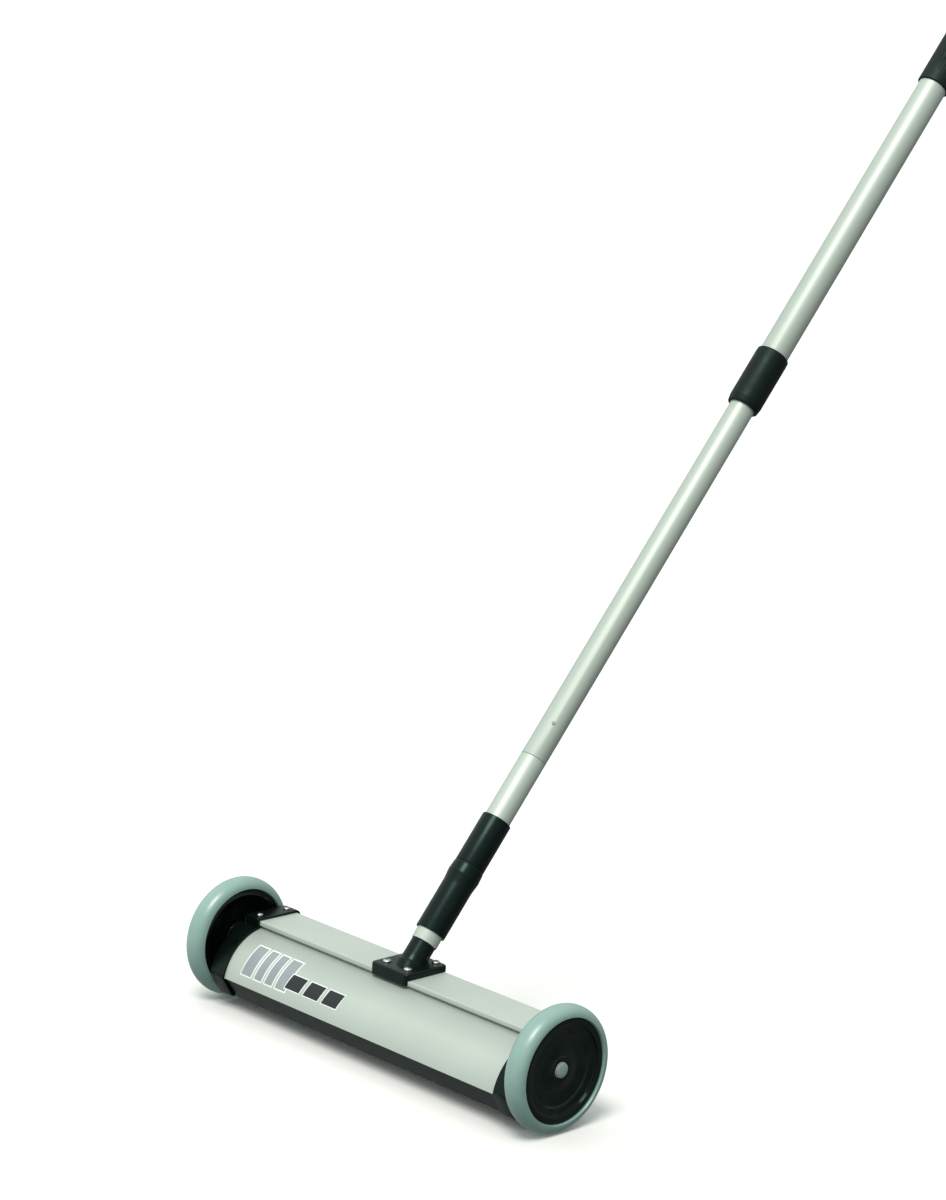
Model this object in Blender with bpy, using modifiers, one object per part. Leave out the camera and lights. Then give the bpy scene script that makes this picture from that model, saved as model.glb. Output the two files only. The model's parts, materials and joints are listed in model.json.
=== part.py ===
"""Push-along magnetic nail sweeper with a lift-to-release magnet and a telescopic pole.

Axes: +X runs along the axle, -Y is the front, +Z is up. The origin is on the floor under the middle of the
axle. "Left" is -X and "right" is +X. Dimensions are in metres, most of them written as millimetres times MM.
"""

import math

import bmesh
import bpy
from mathutils import Matrix, Vector

MM = 0.001
GAP = 0.3 * MM

# Wheels
WHEEL_RADIUS = 63.5 * MM
WHEEL_X = 236 * MM
TYRE_HALF_WIDTH = 12.5 * MM
HUB_RADIUS = 52.5 * MM
HUB_HALF_WIDTH = 10.2 * MM
TYRE_SEAT_RADIUS = 49 * MM
TYRE_SEAT_HALF_WIDTH = 8.3 * MM
BUSH_RADIUS = 8 * MM
AXLE_BOLT_RADIUS = 4 * MM
AXLE_BORE_RADIUS = 4.06 * MM

# Housing section, measured back (y) and up (z) from the axle
ROOF_Z = 25.4 * MM
ROOF_BACK_Y = 53.6 * MM
ROOF_THICKNESS = 3 * MM
WALL = 2 * MM
BACK_CORNER_RADIUS = 4 * MM
RAIL_FACE = 5 * MM
GROOVE_DEPTH = 3.6 * MM
GROOVE_HEIGHT = 1.7 * MM
FRONT_ARC_Y = 10.5 * MM
FRONT_ARC_Z = -39 * MM
FRONT_ARC_RADIUS = 57 * MM
FRONT_ARC_END = math.radians(168.9)
WALL_BOTTOM_Z = -28 * MM
COVER_FRONT_Y = -30 * MM
COVER_BACK_Y = 32 * MM
COVER_BOTTOM_Z = -50 * MM
COVER_WALL = 1.5 * MM

# Housing length, as half lengths along the axle
PANEL_HALF = 200 * MM
SHELL_HALF = 214.7 * MM
CAP_OUTER_HALF = 220 * MM
CAP_PLATE = 5 * MM
CAP_RIM = 2.5 * MM
CAP_SCREW_X = 209 * MM
CAP_SCREW_Y = (7 * MM, 44 * MM)
COVER_SCREW_Y = (-20 * MM, 22 * MM)
COVER_SCREW_HEAD = 3 * MM
COVER_SCREW_RADIUS = 1.6 * MM
COVER_SCREW_CONE = 1.2 * MM
SHELF_HALF_Y = 27 * MM
SHELF_HEIGHT = 7 * MM
SHELF_REACH = 13 * MM

# Handle bracket
PLATE_HALF_X = 27 * MM
PLATE_FRONT_Y = -3 * MM
PLATE_BACK_Y = 54.4 * MM
PLATE_THICKNESS = 6.8 * MM
LIP_DROP = 5 * MM
PLATE_SCREW_X = 15.3 * MM
PLATE_SCREW_Y = (9.4 * MM, 48 * MM)

# Pole: the angle above the roof, where its axis crosses the roof, and distances along the axis from there
POLE_ANGLE = math.radians(50.6)
POLE_FOOT_Y = 24.5 * MM
POST_RADIUS = 13 * MM
POST_TOP = 31 * MM
SPIGOT_RADIUS = 12.1 * MM
SPIGOT_TOP = 62 * MM
TUBE_RADIUS = 14 * MM
TUBE_WALL = 1.6 * MM
BASE_TUBE_TOP = 252.7 * MM
COUPLING_RADIUS = 12.1 * MM
COUPLING_WALL = 1.4 * MM
COUPLING_SPAN = (202 * MM, 315 * MM)
RIVET_AT = 293 * MM
RIVET_TURN = math.radians(40)
RIVET_HEAD_RADIUS = 1.7 * MM
RIVET_RADIUS = 1.1 * MM
MID_TUBE_TOP = 863 * MM
UPPER_RADIUS = 16 * MM
UPPER_WALL = 1.6 * MM
UPPER_TUBE_SPAN = (718 * MM, 1308 * MM)
COLLAR_RADIUS = 18.5 * MM
COLLAR_SPAN = (699.5 * MM, 768.5 * MM)
FERRULE_TOP = 745 * MM
GRIP_RADIUS = 18.2 * MM
GRIP_BOTTOM = 1136 * MM
GRIP_TOP = 1310 * MM
PLUG_TOP = 1318 * MM

# Release sleeve, lift rod and magnets
SLEEVE_RADIUS = 16.1 * MM
SLEEVE_BORE = 14.25 * MM
SLEEVE_BOTTOM = 43.5 * MM
FLARE_RADIUS = 17.3 * MM
FLARE_SPAN = (101 * MM, 122.5 * MM)
SLEEVE_TOP = 178.5 * MM
LIFT_TRAVEL = 30 * MM
PIN_AT = 78 * MM
PIN_RADIUS = 2 * MM
ROD_RADIUS = 4 * MM
ROD_SPAN = (-62 * MM, 98 * MM)
ROD_BORE = 4.2 * MM
ROOF_BORE = 5 * MM
SPRING_SPAN = (83.8 * MM, 141.6 * MM)
SPRING_COIL_RADIUS = 8.5 * MM
SPRING_WIRE_RADIUS = 0.9 * MM
SPRING_TURNS = 7
MAGNET_COUNT = 5
MAGNET_SIZE = Vector((72 * MM, 46 * MM, 18 * MM))
MAGNET_PITCH = 73.5 * MM
MAGNET_Y = -5 * MM
MAGNET_BOTTOM_Z = -48.2 * MM
CARRIER_HALF_X = 186 * MM
CARRIER_SHEET = 2 * MM
CARRIER_LEG = 14 * MM
BLOCK_HALF_X = 14 * MM
BLOCK_Y = (-27 * MM, 3 * MM)
BLOCK_HEIGHT = 14 * MM
BLOCK_SCREW_X = 9.5 * MM

SIDES = (("left", -1), ("right", 1))
ROUND = 28
FINE_ROUND = 40
# A housing section is drawn in (y, z) and pushed out along X.
SECTION_TO_WORLD = Matrix(((0, 0, 1, 0), (1, 0, 0, 0), (0, 1, 0, 0), (0, 0, 0, 1)))


def clear_scene():
    for obj in list(bpy.data.objects):
        bpy.data.objects.remove(obj, do_unlink=True)


def new_collection(name):
    made = bpy.data.collections.new(name)
    bpy.context.scene.collection.children.link(made)
    return made


def new_material(name, color, roughness, metallic=0.0):
    made = bpy.data.materials.new(name)
    made.use_nodes = True
    shader = made.node_tree.nodes["Principled BSDF"]
    shader.inputs["Base Color"].default_value = (*color, 1.0)
    shader.inputs["Roughness"].default_value = roughness
    shader.inputs["Metallic"].default_value = metallic
    return made


def new_empty(name, location, rotation=(0, 0, 0)):
    empty = bpy.data.objects.new(name, None)
    empty.location = location
    empty.rotation_euler = rotation
    parts.objects.link(empty)
    bpy.context.view_layer.update()
    return empty


def place(obj, parent, material=None):
    """Parents obj, whose own transform is then local to the parent, and gives it its material."""
    obj.parent = parent
    if material:
        obj.data.materials.clear()
        obj.data.materials.append(material)
    bpy.context.view_layer.update()
    return obj


def smooth(mesh, sharp_degrees=35):
    mesh.shade_smooth()
    mesh.set_sharp_from_angle(angle=math.radians(sharp_degrees))


def mesh_object(name, mesh, cutter=False):
    obj = bpy.data.objects.new(name, mesh)
    (cutters if cutter else parts).objects.link(obj)
    if cutter:
        obj.hide_render = True
        obj.display_type = "WIRE"
    return obj


def cylinder_mesh(name, radius, low, high, segments=ROUND):
    """A cylinder about local Z from low to high."""
    mesh = bpy.data.meshes.new(name)
    shape = bmesh.new()
    bmesh.ops.create_cone(
        shape,
        cap_ends=True,
        segments=segments,
        radius1=radius,
        radius2=radius,
        depth=high - low,
        matrix=Matrix.Translation((0, 0, (low + high) / 2)),
    )
    shape.to_mesh(mesh)
    shape.free()
    return mesh


def box_mesh(name, low, high):
    """A box between two corners."""
    low, high = Vector(low), Vector(high)
    mesh = bpy.data.meshes.new(name)
    shape = bmesh.new()
    bmesh.ops.create_cube(shape, size=1.0)
    bmesh.ops.scale(shape, vec=high - low, verts=shape.verts)
    bmesh.ops.translate(shape, vec=(low + high) / 2, verts=shape.verts)
    shape.to_mesh(mesh)
    shape.free()
    return mesh


def turned_mesh(name, profile, segments=ROUND):
    """Profile points are (radius, z), down the outer side and back up the bore; a solid starts and ends on the axis."""
    on_axis = profile[0][0] == 0 and profile[-1][0] == 0
    count = len(profile)
    edges = [(i, i + 1) for i in range(count - 1)]
    if not on_axis:
        edges.append((count - 1, 0))
    mesh = bpy.data.meshes.new(name)
    mesh.from_pydata([(radius, 0, z) for radius, z in profile], edges, [])
    obj = mesh_object(name + "_profile", mesh)
    screw = obj.modifiers.new("Screw", "SCREW")
    screw.axis = "Z"
    screw.angle = math.tau
    screw.steps = segments
    screw.render_steps = segments
    screw.use_merge_vertices = True
    screw.merge_threshold = 0.00005
    bpy.context.view_layer.update()
    evaluated = obj.evaluated_get(bpy.context.evaluated_depsgraph_get())
    made = bpy.data.meshes.new_from_object(evaluated)
    made.name = name
    bpy.data.objects.remove(obj, do_unlink=True)
    smooth(made)
    return made


def turned(name, profile, parent, material, segments=ROUND):
    return place(mesh_object(name, turned_mesh(name, profile, segments)), parent, material)


def tube_profile(outer, inner, low, high, edge=0.4 * MM):
    """A plain tube with small chamfers on its outer rims."""
    return [
        (inner, high),
        (outer - edge, high),
        (outer, high - edge),
        (outer, low + edge),
        (outer - edge, low),
        (inner, low),
    ]


def section_mesh(name, outline, low_x, high_x):
    """Pushes a closed (y, z) outline along X from low_x to high_x."""
    curve = bpy.data.curves.new(name, "CURVE")
    curve.dimensions = "2D"
    curve.fill_mode = "BOTH"
    curve.extrude = (high_x - low_x) / 2
    spline = curve.splines.new("POLY")
    spline.points.add(len(outline) - 1)
    for point, (y, z) in zip(spline.points, outline):
        point.co = (y, z, 0, 1)
    spline.use_cyclic_u = True
    obj = bpy.data.objects.new(name, curve)
    parts.objects.link(obj)
    bpy.context.view_layer.update()
    evaluated = obj.evaluated_get(bpy.context.evaluated_depsgraph_get())
    mesh = bpy.data.meshes.new_from_object(evaluated)
    mesh.name = name
    bpy.data.objects.remove(obj, do_unlink=True)
    mesh.transform(Matrix.Translation(((low_x + high_x) / 2, 0, 0)) @ SECTION_TO_WORLD)
    shape = bmesh.new()
    shape.from_mesh(mesh)
    bmesh.ops.remove_doubles(shape, verts=shape.verts, dist=0.00001)
    bmesh.ops.recalc_face_normals(shape, faces=shape.faces)
    shape.to_mesh(mesh)
    shape.free()
    return mesh


def cut(obj, *tools):
    for tool in tools:
        cutting = obj.modifiers.new(tool.name, "BOOLEAN")
        cutting.operation = "DIFFERENCE"
        cutting.solver = "EXACT"
        cutting.object = tool


def join(obj, tool):
    joining = obj.modifiers.new(tool.name, "BOOLEAN")
    joining.operation = "UNION"
    joining.solver = "EXACT"
    joining.object = tool


def round_cutter(name, radius, low, high, parent, location=(0, 0, 0), rotation=(0, 0, 0), segments=24):
    tool = mesh_object(name, cylinder_mesh(name, radius, low, high, segments), cutter=True)
    tool.location = location
    tool.rotation_euler = rotation
    return place(tool, parent)


def box_cutter(name, low, high, parent):
    return place(mesh_object(name, box_mesh(name, low, high), cutter=True), parent)


def bevel(obj, width, segments=2, sharp_degrees=40):
    rounding = obj.modifiers.new("Bevel", "BEVEL")
    rounding.width = width
    rounding.segments = segments
    rounding.limit_method = "ANGLE"
    rounding.angle_limit = math.radians(sharp_degrees)


def arc(center_y, center_z, radius, start, end, steps):
    """Points along an arc, both ends included."""
    angles = [start + (end - start) * i / steps for i in range(steps + 1)]
    return [(center_y + radius * math.cos(a), center_z + radius * math.sin(a)) for a in angles]


def front_arc(radius, start, steps):
    return arc(FRONT_ARC_Y, FRONT_ARC_Z, radius, start, FRONT_ARC_END, steps)


def arc_angle_at(radius, y):
    """Where the front arc of this radius reaches y."""
    return math.acos((y - FRONT_ARC_Y) / radius)


def back_corner(grow):
    corner_y = ROOF_BACK_Y - BACK_CORNER_RADIUS
    corner_z = ROOF_Z - BACK_CORNER_RADIUS
    return arc(corner_y, corner_z, BACK_CORNER_RADIUS + grow, 0, math.pi / 2, 4)


def shell_outline():
    """The extruded housing: a flat rail on top with a groove under its front edge, a bowed front and a back wall."""
    rail_bottom = ROOF_Z - RAIL_FACE
    rail_edge = 1.2 * MM
    outer_start = arc_angle_at(FRONT_ARC_RADIUS, GROOVE_DEPTH)
    inner_radius = FRONT_ARC_RADIUS - WALL
    web_y = GROOVE_DEPTH + WALL
    inner_start = arc_angle_at(inner_radius, web_y)
    inner_roof = ROOF_Z - ROOF_THICKNESS
    outer = [(ROOF_BACK_Y, WALL_BOTTOM_Z), *back_corner(0)]
    outer += [(rail_edge, ROOF_Z), (0, ROOF_Z - rail_edge), (0, rail_bottom), (GROOVE_DEPTH, rail_bottom)]
    outer += front_arc(FRONT_ARC_RADIUS, outer_start, 12)
    inner = list(reversed(front_arc(inner_radius, inner_start, 12)))
    inner += [(web_y, inner_roof), (ROOF_BACK_Y - WALL, inner_roof), (ROOF_BACK_Y - WALL, WALL_BOTTOM_Z)]
    return outer + inner


def closed_outline(grow):
    """The whole housing section, cover included, grown outwards."""
    radius = FRONT_ARC_RADIUS + grow
    chin = grow * 0.6
    outline = [(ROOF_BACK_Y + grow, WALL_BOTTOM_Z), *back_corner(grow)]
    outline.append((-grow, ROOF_Z + grow))
    outline += front_arc(radius, arc_angle_at(radius, -grow), 12)
    outline.append((COVER_FRONT_Y - chin, COVER_BOTTOM_Z - grow))
    outline.append((COVER_BACK_Y + chin, COVER_BOTTOM_Z - grow))
    return outline


def cover_outline():
    """The tray under the magnets: a sheet with sloping sides that meets the shell's two lower edges."""
    rim_z = WALL_BOTTOM_Z - 2 * GAP
    front_y, _ = front_arc(FRONT_ARC_RADIUS, FRONT_ARC_END, 1)[0]
    slope = COVER_WALL * 1.2
    inset = COVER_WALL * 0.6
    floor_z = COVER_BOTTOM_Z + COVER_WALL
    front_y += 3 * GAP
    back_y = ROOF_BACK_Y - 3 * GAP
    outer = [(front_y, rim_z), (COVER_FRONT_Y, COVER_BOTTOM_Z)]
    outer += [(COVER_BACK_Y, COVER_BOTTOM_Z), (back_y, rim_z)]
    inner = [(back_y - slope, rim_z), (COVER_BACK_Y - inset, floor_z)]
    inner += [(COVER_FRONT_Y + inset, floor_z), (front_y + slope, rim_z)]
    return outer + inner


def countersink_profile():
    """A countersunk hole through the cover, its wide end at z = 0 and its axis going up."""
    wide = COVER_SCREW_HEAD + GAP
    narrow = COVER_SCREW_RADIUS + GAP
    deep = 3 * COVER_WALL
    return [
        (0, deep),
        (narrow, deep),
        (narrow, COVER_SCREW_CONE),
        (wide, 0),
        (wide, -COVER_WALL),
        (0, -COVER_WALL),
    ]


def countersunk_mesh(name, length):
    """A flush screw hanging head down: its flat head is at z = 0 and its shank goes up."""
    return turned_mesh(
        name,
        [
            (0, length),
            (COVER_SCREW_RADIUS, length),
            (COVER_SCREW_RADIUS, COVER_SCREW_CONE),
            (COVER_SCREW_HEAD, 0),
            (0, 0),
        ],
        12,
    )


def screw_mesh(name, head_radius, head_height, shank_radius, length):
    """A domed screw standing on its shank: the head's underside is at z = 0."""
    head = [
        (0, head_height),
        (head_radius * 0.7, head_height * 0.8),
        (head_radius, head_height * 0.2),
        (head_radius, 0),
    ]
    return turned_mesh(name, [*head, (shank_radius, 0), (shank_radius, -length), (0, -length)], 12)


def screw_set(prefix, mesh, spots, parent, material, rotation=(0, 0, 0)):
    for label, location in spots:
        screw = mesh_object(f"{prefix}_{label}", mesh)
        screw.location = location
        screw.rotation_euler = rotation
        place(screw, parent, material)


def roof_spots(x, ys):
    """Named places at plus and minus x, and at the front and back of the roof."""
    rows = (("front", ys[0]), ("back", ys[1]))
    return [(f"{side}_{row}", (sign * x, y)) for side, sign in SIDES for row, y in rows]


def make_housing(chassis):
    shell = mesh_object("housing_shell", section_mesh("housing_shell", shell_outline(), -SHELL_HALF, SHELL_HALF))
    place(shell, chassis, paint)
    low, high = ROOF_Z - 2 * ROOF_THICKNESS, ROOF_Z + ROOF_THICKNESS
    spots = roof_spots(CAP_SCREW_X, CAP_SCREW_Y) + roof_spots(PLATE_SCREW_X, PLATE_SCREW_Y)
    for index, (_, (x, y)) in enumerate(spots):
        cut(shell, round_cutter(f"roof_hole_{index}", 2.2 * MM, low, high, chassis, (x, y, 0), segments=12))
    cover = mesh_object("bottom_cover", section_mesh("bottom_cover", cover_outline(), -SHELL_HALF, SHELL_HALF))
    place(cover, chassis, black_plastic)
    for index, (_, (x, y)) in enumerate(roof_spots(CAP_SCREW_X, COVER_SCREW_Y)):
        countersink = turned_mesh(f"cover_hole_{index}", countersink_profile(), 12)
        tool = mesh_object(f"cover_hole_{index}", countersink, cutter=True)
        tool.location = (x, y, COVER_BOTTOM_Z)
        cut(cover, place(tool, chassis))


def make_end_cap(chassis, label, sign):
    """A moulded lid over the shell's end, open underneath, with a shelf that the cover is screwed to."""
    inner_x, outer_x = sorted((sign * PANEL_HALF, sign * CAP_OUTER_HALF))
    name = f"end_cap_{label}"
    cap = mesh_object(name, section_mesh(name, closed_outline(GAP + CAP_RIM), inner_x, outer_x))
    place(cap, chassis, black_plastic)
    deep = sign * (CAP_OUTER_HALF - CAP_PLATE)
    low_x, high_x = sorted((sign * (PANEL_HALF - 5 * MM), deep))
    hollow = section_mesh(f"cap_hollow_{label}", closed_outline(GAP), low_x, high_x)
    cut(cap, place(mesh_object(f"cap_hollow_{label}", hollow, cutter=True), chassis))
    wide, deepest = 100 * MM, COVER_BOTTOM_Z - 20 * MM
    underneath = (low_x - wide, -wide, deepest), (high_x + wide, wide, COVER_BOTTOM_Z)
    cut(cap, box_cutter(f"cap_underneath_{label}", *underneath, chassis))
    shelf_low_x, shelf_high_x = sorted((deep - sign * SHELF_REACH, deep + sign * MM))
    shelf_low_z = COVER_BOTTOM_Z + COVER_WALL + GAP
    shelf_low = (shelf_low_x, 1 * MM - SHELF_HALF_Y, shelf_low_z)
    shelf_high = (shelf_high_x, 1 * MM + SHELF_HALF_Y, shelf_low_z + SHELF_HEIGHT)
    join(cap, box_cutter(f"cap_shelf_{label}", shelf_low, shelf_high, chassis))
    turn = (0, math.pi / 2, 0)
    cut(cap, round_cutter(f"cap_bore_{label}", 4.3 * MM, -1, 1, chassis, rotation=turn))
    roof = ROOF_Z + 2 * CAP_RIM
    hole_radius = COVER_SCREW_RADIUS + GAP
    for row, y in zip(("front", "back"), CAP_SCREW_Y):
        spot = (sign * CAP_SCREW_X, y, roof)
        cut(cap, round_cutter(f"cap_top_hole_{label}_{row}", 2.2 * MM, -8 * MM, 4 * MM, chassis, spot, segments=12))
    for row, y in zip(("front", "back"), COVER_SCREW_Y):
        spot = (sign * CAP_SCREW_X, y, COVER_BOTTOM_Z)
        low, high = -1 * MM, 3 * SHELF_HEIGHT
        cut(cap, round_cutter(f"cap_low_hole_{label}_{row}", hole_radius, low, high, chassis, spot, segments=12))


def make_housing_screws(chassis):
    top_z = ROOF_Z + GAP + CAP_RIM + GAP
    spots = [(label, (x, y, top_z)) for label, (x, y) in roof_spots(CAP_SCREW_X, CAP_SCREW_Y)]
    screw_set("cap_screw", screw_mesh("cap_screw", 3.4 * MM, 2 * MM, 1.9 * MM, 8 * MM), spots, chassis, screw_steel)
    spots = [(label, (x, y, COVER_BOTTOM_Z)) for label, (x, y) in roof_spots(CAP_SCREW_X, COVER_SCREW_Y)]
    screw_set("cover_screw", countersunk_mesh("cover_screw", 8 * MM), spots, chassis, screw_steel)


def make_bracket(chassis, pole):
    """The plate hooks over the rail's front edge; its post and spigot carry the pole and guide the lift rod."""
    bottom, top = ROOF_Z + GAP, ROOF_Z + GAP + PLATE_THICKNESS
    lip_z = ROOF_Z - LIP_DROP
    edge = 1.5 * MM
    outline = [(PLATE_BACK_Y, bottom), (PLATE_BACK_Y, top - edge), (PLATE_BACK_Y - edge, top)]
    outline += [(PLATE_FRONT_Y + edge, top), (PLATE_FRONT_Y, top - edge), (PLATE_FRONT_Y, lip_z)]
    outline += [(-GAP, lip_z), (-GAP, bottom)]
    mesh = section_mesh("handle_bracket", outline, -PLATE_HALF_X, PLATE_HALF_X)
    bracket = place(mesh_object("handle_bracket", mesh), chassis, black_plastic)
    profile = [
        (0, SPIGOT_TOP),
        (SPIGOT_RADIUS, SPIGOT_TOP),
        (SPIGOT_RADIUS, POST_TOP),
        (POST_RADIUS, POST_TOP),
        (POST_RADIUS, -3 * PLATE_THICKNESS),
        (0, -3 * PLATE_THICKNESS),
    ]
    post = place(mesh_object("post_solid", turned_mesh("post_solid", profile), cutter=True), pole)
    low = Vector((-2 * PLATE_HALF_X, -2 * PLATE_BACK_Y, bottom - 60 * MM))
    high = Vector((2 * PLATE_HALF_X, 2 * PLATE_BACK_Y, bottom))
    cut(post, box_cutter("below_plate", low, high, chassis))
    join(bracket, post)
    cut(bracket, round_cutter("rod_bore", ROD_BORE, -80 * MM, 80 * MM, pole))
    cut(bpy.data.objects["housing_shell"], round_cutter("roof_bore", ROOF_BORE, -20 * MM, 20 * MM, pole))
    for index, (_, (x, y)) in enumerate(roof_spots(PLATE_SCREW_X, PLATE_SCREW_Y)):
        spot = (x, y, bottom)
        cut(bracket, round_cutter(f"plate_hole_{index}", 2.2 * MM, -10 * MM, 10 * MM, chassis, spot, segments=12))
    spots = [(label, (x, y, top + GAP)) for label, (x, y) in roof_spots(PLATE_SCREW_X, PLATE_SCREW_Y)]
    mesh = screw_mesh("bracket_screw", 4.2 * MM, 2.4 * MM, 1.9 * MM, 13 * MM)
    screw_set("bracket_screw", mesh, spots, chassis, screw_steel)


def tyre_profile():
    """A rounded tread over a foot that sits in the hub's channel."""
    tread_height = WHEEL_RADIUS - 53.5 * MM
    steps = 8
    turns = [math.pi / 2 - math.pi * i / steps for i in range(steps + 1)]
    tread = [(53.5 * MM + tread_height * math.cos(a), TYRE_HALF_WIDTH * math.sin(a)) for a in turns]
    bead, foot = HUB_RADIUS + GAP, TYRE_SEAT_RADIUS + GAP
    bead_z, foot_z = HUB_HALF_WIDTH + GAP, TYRE_SEAT_HALF_WIDTH - GAP
    return [(bead, bead_z), *tread, (bead, -bead_z), (bead, -foot_z), (foot, -foot_z), (foot, foot_z), (bead, foot_z)]


def hub_profile():
    """A dished disc with a raised rim, a tyre channel and a boss that is longer on the inner side."""
    bore = BUSH_RADIUS + GAP
    rim = 0.8 * MM
    outer = [
        (bore, 6.5 * MM),
        (12.5 * MM, 6.5 * MM),
        (14 * MM, 5 * MM),
        (24 * MM, 3.6 * MM),
        (35 * MM, 4.2 * MM),
        (43.5 * MM, 6.6 * MM),
        (46 * MM, HUB_HALF_WIDTH),
        (HUB_RADIUS - rim, HUB_HALF_WIDTH),
        (HUB_RADIUS, HUB_HALF_WIDTH - rim),
    ]
    channel = [
        (HUB_RADIUS, TYRE_SEAT_HALF_WIDTH),
        (TYRE_SEAT_RADIUS, TYRE_SEAT_HALF_WIDTH),
        (TYRE_SEAT_RADIUS, -TYRE_SEAT_HALF_WIDTH),
        (HUB_RADIUS, -TYRE_SEAT_HALF_WIDTH),
    ]
    inner = [
        (HUB_RADIUS, rim - HUB_HALF_WIDTH),
        (HUB_RADIUS - rim, -HUB_HALF_WIDTH),
        (46 * MM, -HUB_HALF_WIDTH),
        (44 * MM, -4 * MM),
        (30 * MM, -1.5 * MM),
        (15 * MM, -2.5 * MM),
        (13 * MM, -12.2 * MM),
        (bore, -12.2 * MM),
    ]
    return outer + channel + inner


def axle_bolt_profile():
    """A domed shoulder bolt, its head against the hub's outer boss."""
    head = [(0, 9.2 * MM), (3.6 * MM, 8.9 * MM), (6.4 * MM, 8.2 * MM), (7.5 * MM, 7.4 * MM), (7.5 * MM, 6.8 * MM)]
    end = -30 * MM
    return [*head, (AXLE_BOLT_RADIUS, 6.8 * MM), (AXLE_BOLT_RADIUS, end), (0, end)]


def make_wheel(label, sign):
    """Everything on one wheel's axis; local +Z points outwards along the axle."""
    axis = new_empty(f"wheel_axis_{label}", (sign * WHEEL_X, 0, WHEEL_RADIUS), (0, sign * math.pi / 2, 0))
    turned(f"tyre_{label}", tyre_profile(), axis, tyre_rubber, FINE_ROUND)
    turned(f"wheel_hub_{label}", hub_profile(), axis, gloss_plastic, FINE_ROUND)
    bush = tube_profile(BUSH_RADIUS, AXLE_BORE_RADIUS, -12 * MM, 6.3 * MM)
    turned(f"hub_bush_{label}", bush, axis, nylon, 24)
    turned(f"axle_bolt_{label}", axle_bolt_profile(), axis, zinc, 20)
    washer = tube_profile(9 * MM, 4.3 * MM, -15.7 * MM, -12.5 * MM)
    turned(f"axle_washer_{label}", washer, axis, zinc, 20)
    nut = mesh_object(f"axle_nut_{label}", cylinder_mesh(f"axle_nut_{label}", 7.4 * MM, -27.5 * MM, -21.3 * MM, 6))
    place(nut, axis, zinc)
    cut(nut, round_cutter(f"nut_bore_{label}", 4.3 * MM, -30 * MM, -18 * MM, axis))


def make_base_tube(pole):
    inner = TUBE_RADIUS - TUBE_WALL
    tube = turned("base_tube", tube_profile(TUBE_RADIUS, inner, POST_TOP + GAP, BASE_TUBE_TOP), pole, aluminium)
    half_slot = PIN_RADIUS + GAP
    slot_low, slot_high = PIN_AT - half_slot - 2 * MM, PIN_AT + LIFT_TRAVEL + half_slot + 2 * MM
    low, high = (-20 * MM, -half_slot, slot_low), (20 * MM, half_slot, slot_high)
    cut(tube, box_cutter("pin_slot", low, high, pole))
    screw_at = 50 * MM
    turn = (-math.pi / 2, 0, 0)
    hole = round_cutter("set_screw_hole", 2.3 * MM, 5.4 * MM, 20 * MM, pole, (0, 0, screw_at), turn, 12)
    cut(tube, hole)
    cut(bpy.data.objects["handle_bracket"], hole)
    screw = mesh_object("post_set_screw", cylinder_mesh("post_set_screw", 2 * MM, 5.8 * MM, 13.8 * MM, 12))
    screw.location = (0, 0, screw_at)
    screw.rotation_euler = turn
    place(screw, pole, screw_steel)


def coil_points():
    """The spring's centre line, with a closed turn at each end."""
    per_turn = 10
    low, high = (end + sign * 1.1 * SPRING_WIRE_RADIUS for end, sign in zip(SPRING_SPAN, (1, -1)))
    pitch_turns = SPRING_TURNS - 2
    closed_rise = 2.3 * SPRING_WIRE_RADIUS
    points = []
    for i in range(SPRING_TURNS * per_turn + 1):
        turns = i / per_turn
        if turns < 1:
            height = low + closed_rise * turns
        elif turns > SPRING_TURNS - 1:
            height = high - closed_rise * (SPRING_TURNS - turns)
        else:
            height = low + closed_rise + (high - low - 2 * closed_rise) * (turns - 1) / pitch_turns
        angle = math.tau * turns
        points.append((SPRING_COIL_RADIUS * math.cos(angle), SPRING_COIL_RADIUS * math.sin(angle), height))
    return points


def make_return_spring(pole):
    """The spring pushes the lift rod back down; it works between a washer on the rod and a stop in the tube."""
    curve = bpy.data.curves.new("return_spring", "CURVE")
    curve.dimensions = "3D"
    curve.bevel_depth = SPRING_WIRE_RADIUS
    curve.bevel_resolution = 0
    curve.use_fill_caps = True
    points = coil_points()
    spline = curve.splines.new("POLY")
    spline.points.add(len(points) - 1)
    for point, place_on_coil in zip(spline.points, points):
        point.co = (*place_on_coil, 1)
    spring = bpy.data.objects.new("return_spring", curve)
    parts.objects.link(spring)
    place(spring, pole, screw_steel)
    stop_low = SPRING_SPAN[1] + GAP
    turned("spring_stop", tube_profile(12.1 * MM, 5 * MM, stop_low, stop_low + 10 * MM), pole, nylon, 24)
    seat_low = PIN_AT + PIN_RADIUS + GAP
    turned("spring_seat", tube_profile(11.6 * MM, 4.3 * MM, seat_low, SPRING_SPAN[0] - GAP), pole, zinc, 20)


def sleeve_profile():
    """The lower half of the release sleeve, flared at its top where the upper half plugs in."""
    socket = SLEEVE_RADIUS - 0.5 * MM
    flare_low, flare_high = FLARE_SPAN
    edge = 1.2 * MM
    return [
        (socket, flare_high),
        (SLEEVE_RADIUS - 0.2 * MM, flare_high),
        (SLEEVE_RADIUS + 0.4 * MM, flare_high - edge),
        (FLARE_RADIUS, flare_low + 10 * MM),
        (FLARE_RADIUS - 0.2 * MM, flare_low + 5 * MM),
        (SLEEVE_RADIUS, flare_low),
        (SLEEVE_RADIUS, SLEEVE_BOTTOM + edge),
        (SLEEVE_RADIUS - edge / 2, SLEEVE_BOTTOM),
        (SLEEVE_BORE, SLEEVE_BOTTOM),
        (SLEEVE_BORE, flare_low + 5 * MM),
        (socket, flare_low + 5 * MM),
    ]


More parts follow.
